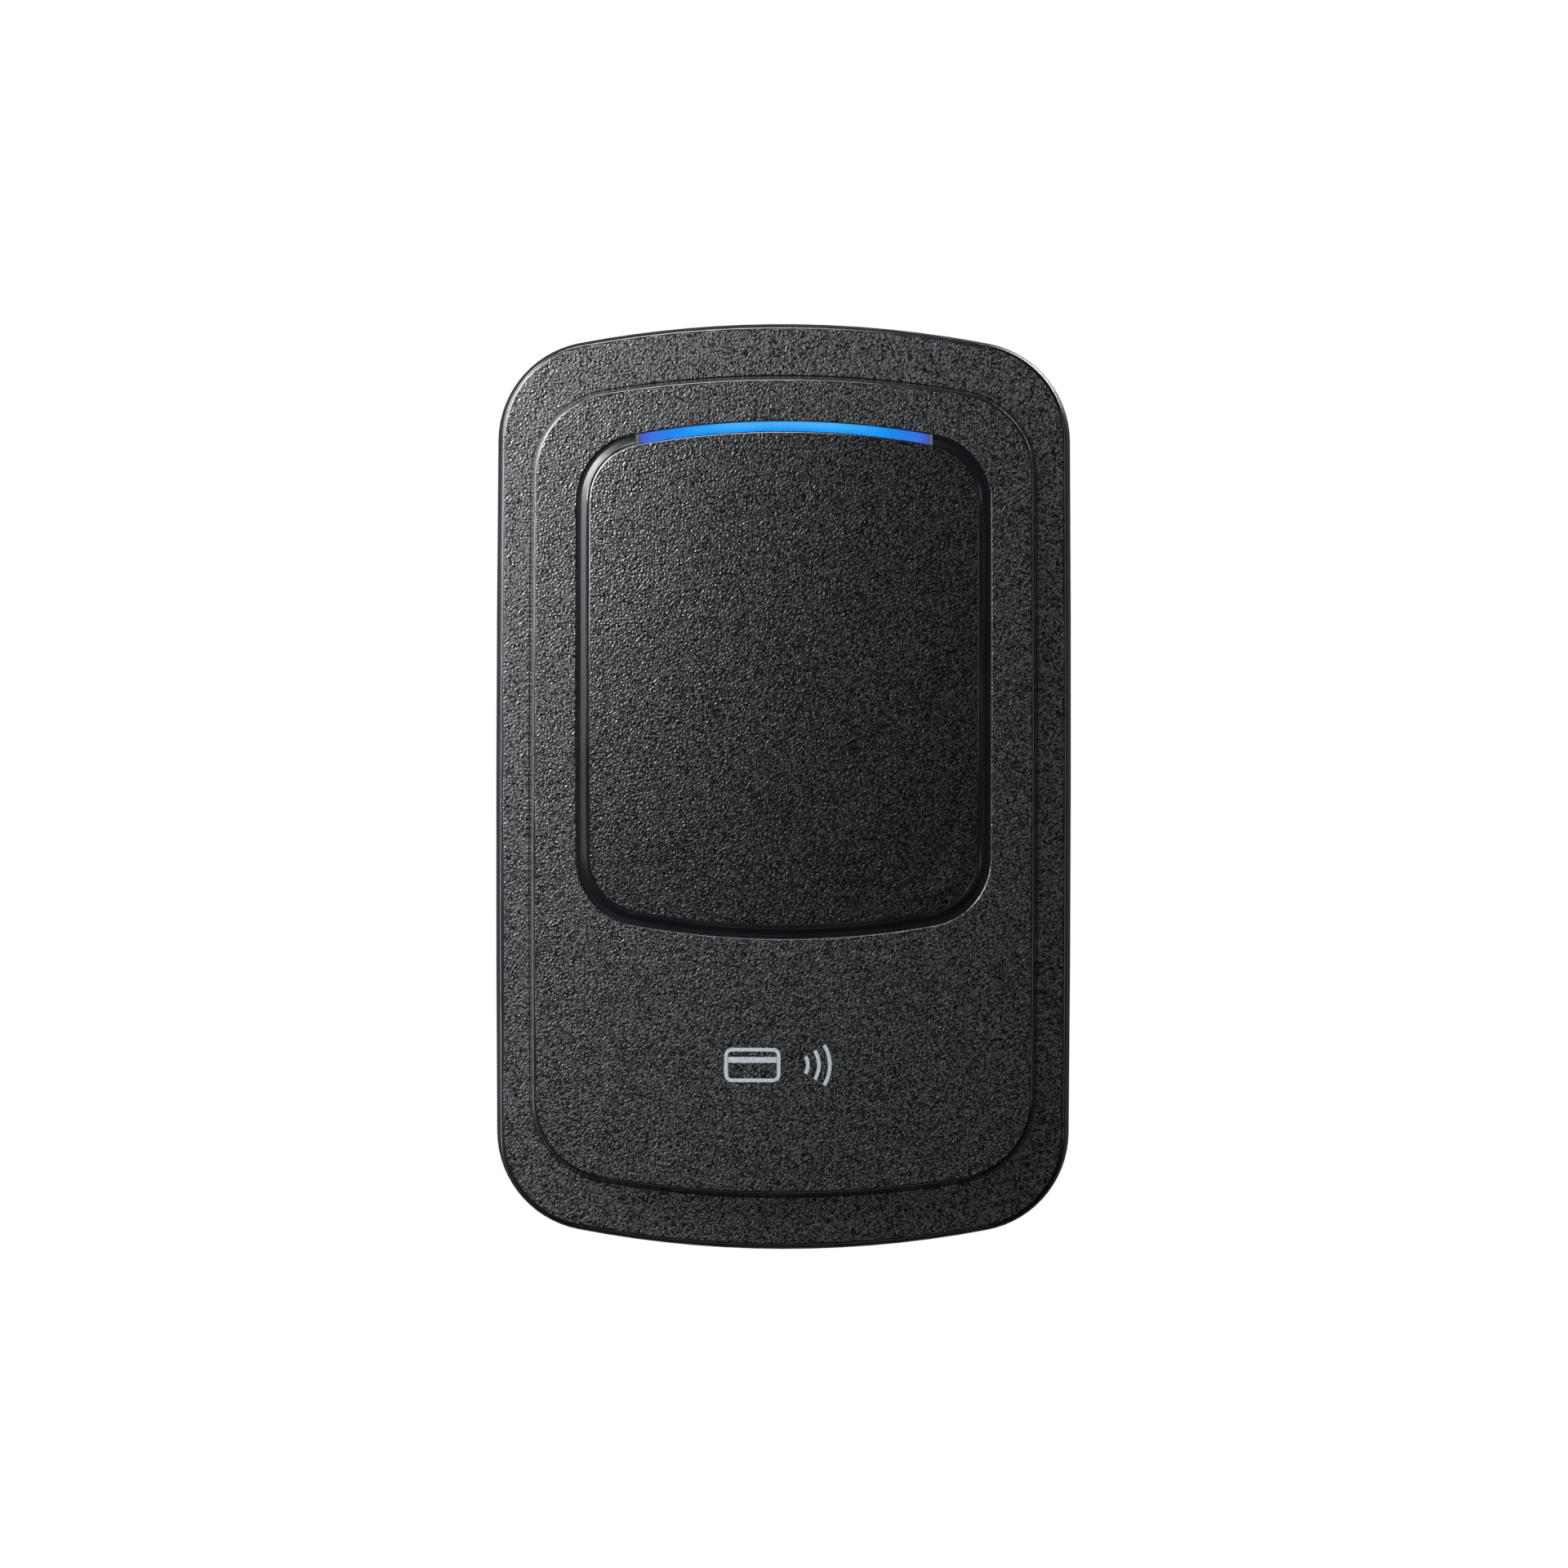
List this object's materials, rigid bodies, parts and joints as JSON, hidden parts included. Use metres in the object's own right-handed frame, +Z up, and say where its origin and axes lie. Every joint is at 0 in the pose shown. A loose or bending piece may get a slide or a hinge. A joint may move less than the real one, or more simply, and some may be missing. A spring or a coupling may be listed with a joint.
{
  "type": "rfid card reader",
  "caption": "Wall-mounted card reader: stepped black case with crowned reading pad and blue light bar, hung on a steel bracket with a locking screw.",
  "frame": {"origin": "centre of the bracket's rear plane, midway between the two gang-box screws, on the wall", "axes": "+Z up the wall, -Y out of the wall towards the user, +Y into the wall, +X to the user's right"},
  "size_m": [0.08, 0.023, 0.1287],
  "materials": {
    "bracket_steel": "zinc-plated, satin",
    "bright_steel": "zinc-plated screws",
    "black_steel": "black oxide",
    "nut_steel": "plated press nut",
    "body_plastic": "fine spark-eroded grain, near black",
    "gloss_trim": "polished black",
    "light_bar": "translucent diffuser, lit blue",
    "housing_plastic": "moulded, satin",
    "black_rubber": "moulded rubber",
    "adhesive": "acrylic foam tape",
    "brass": "knurled, turned",
    "circuit_board": "green solder mask",
    "copper": "enamelled and printed copper",
    "ferrite": "flexible ferrite sheet",
    "lamp_white": "moulded lamp bodies",
    "chip_black": "moulded epoxy",
    "can_metal": "drawn cans",
    "ceramic": "ceramic with tinned ends",
    "connector": "nylon"
  },
  "bodies": {
    "bracket": {"wall_bracket": "bracket_steel", "lock_nut": "nut_steel"},
    "retainer": {"screw_retainer": "bright_steel"},
    "set_screw": {"lock_screw": "black_steel"},
    "plunger": {"tamper_plunger": "housing_plastic", "tamper_clip": "bright_steel"},
    "reader": {"outer_bezel": "body_plastic", "front_cover": "body_plastic", "groove_trim": "gloss_trim", "light_guide": "light_bar", "reading_pad": "body_plastic", "pad_adhesive": "adhesive", "rear_housing": "housing_plastic", "case_seal": "black_rubber", "cable_grommet": "black_rubber", "threaded_inserts": "brass", "case_screws": "bright_steel", "bezel_screws": "bright_steel", "board_screws": "bright_steel", "antenna_board": "circuit_board", "hf_antenna_coil": "copper", "lf_antenna_coil": "copper", "ferrite_sheet": "ferrite", "status_leds": "lamp_white", "light_gasket": "black_rubber", "antenna_header": "connector", "main_board": "circuit_board", "processor_chip": "chip_black", "reader_chips": "chip_black", "interface_chips": "chip_black", "radio_board": "circuit_board", "radio_shield": "bright_steel", "crystals": "can_metal", "power_inductor": "chip_black", "bulk_capacitors": "can_metal", "ceramic_capacitors": "ceramic", "chip_resistors": "chip_black", "surge_diodes": "chip_black", "buzzer": "chip_black", "cable_header": "connector", "tamper_switch": "chip_black", "tamper_spring": "black_steel"}
  },
  "joints": [
    {"name": "reader_tilt", "type": "hinge", "parent": "bracket", "child": "reader", "pos_m": [0, -0.0036, 0.057], "axis": [-1, 0, 0], "range_deg": [0, 18]},
    {"name": "screw_advance", "type": "slide", "parent": "bracket", "child": "retainer", "axis": [0, 0, -1], "range_m": [0, 0.003]},
    {"name": "screw_turn", "type": "hinge", "parent": "retainer", "child": "set_screw", "pos_m": [0, -0.0038, -0.056], "axis": [0, 0, -1], "range_deg": [0, 2162]},
    {"name": "tamper_press", "type": "slide", "parent": "reader", "child": "plunger", "axis": [0, 1, 0], "range_m": [0, 0.00135], "stiffness_N_per_m": 150, "springref_m": 0.0025, "deforming": ["tamper_spring"]}
  ],
  "couplings": [
    {"joint": "screw_turn", "follows": "screw_advance", "rad_per_m": 12566}
  ]
}
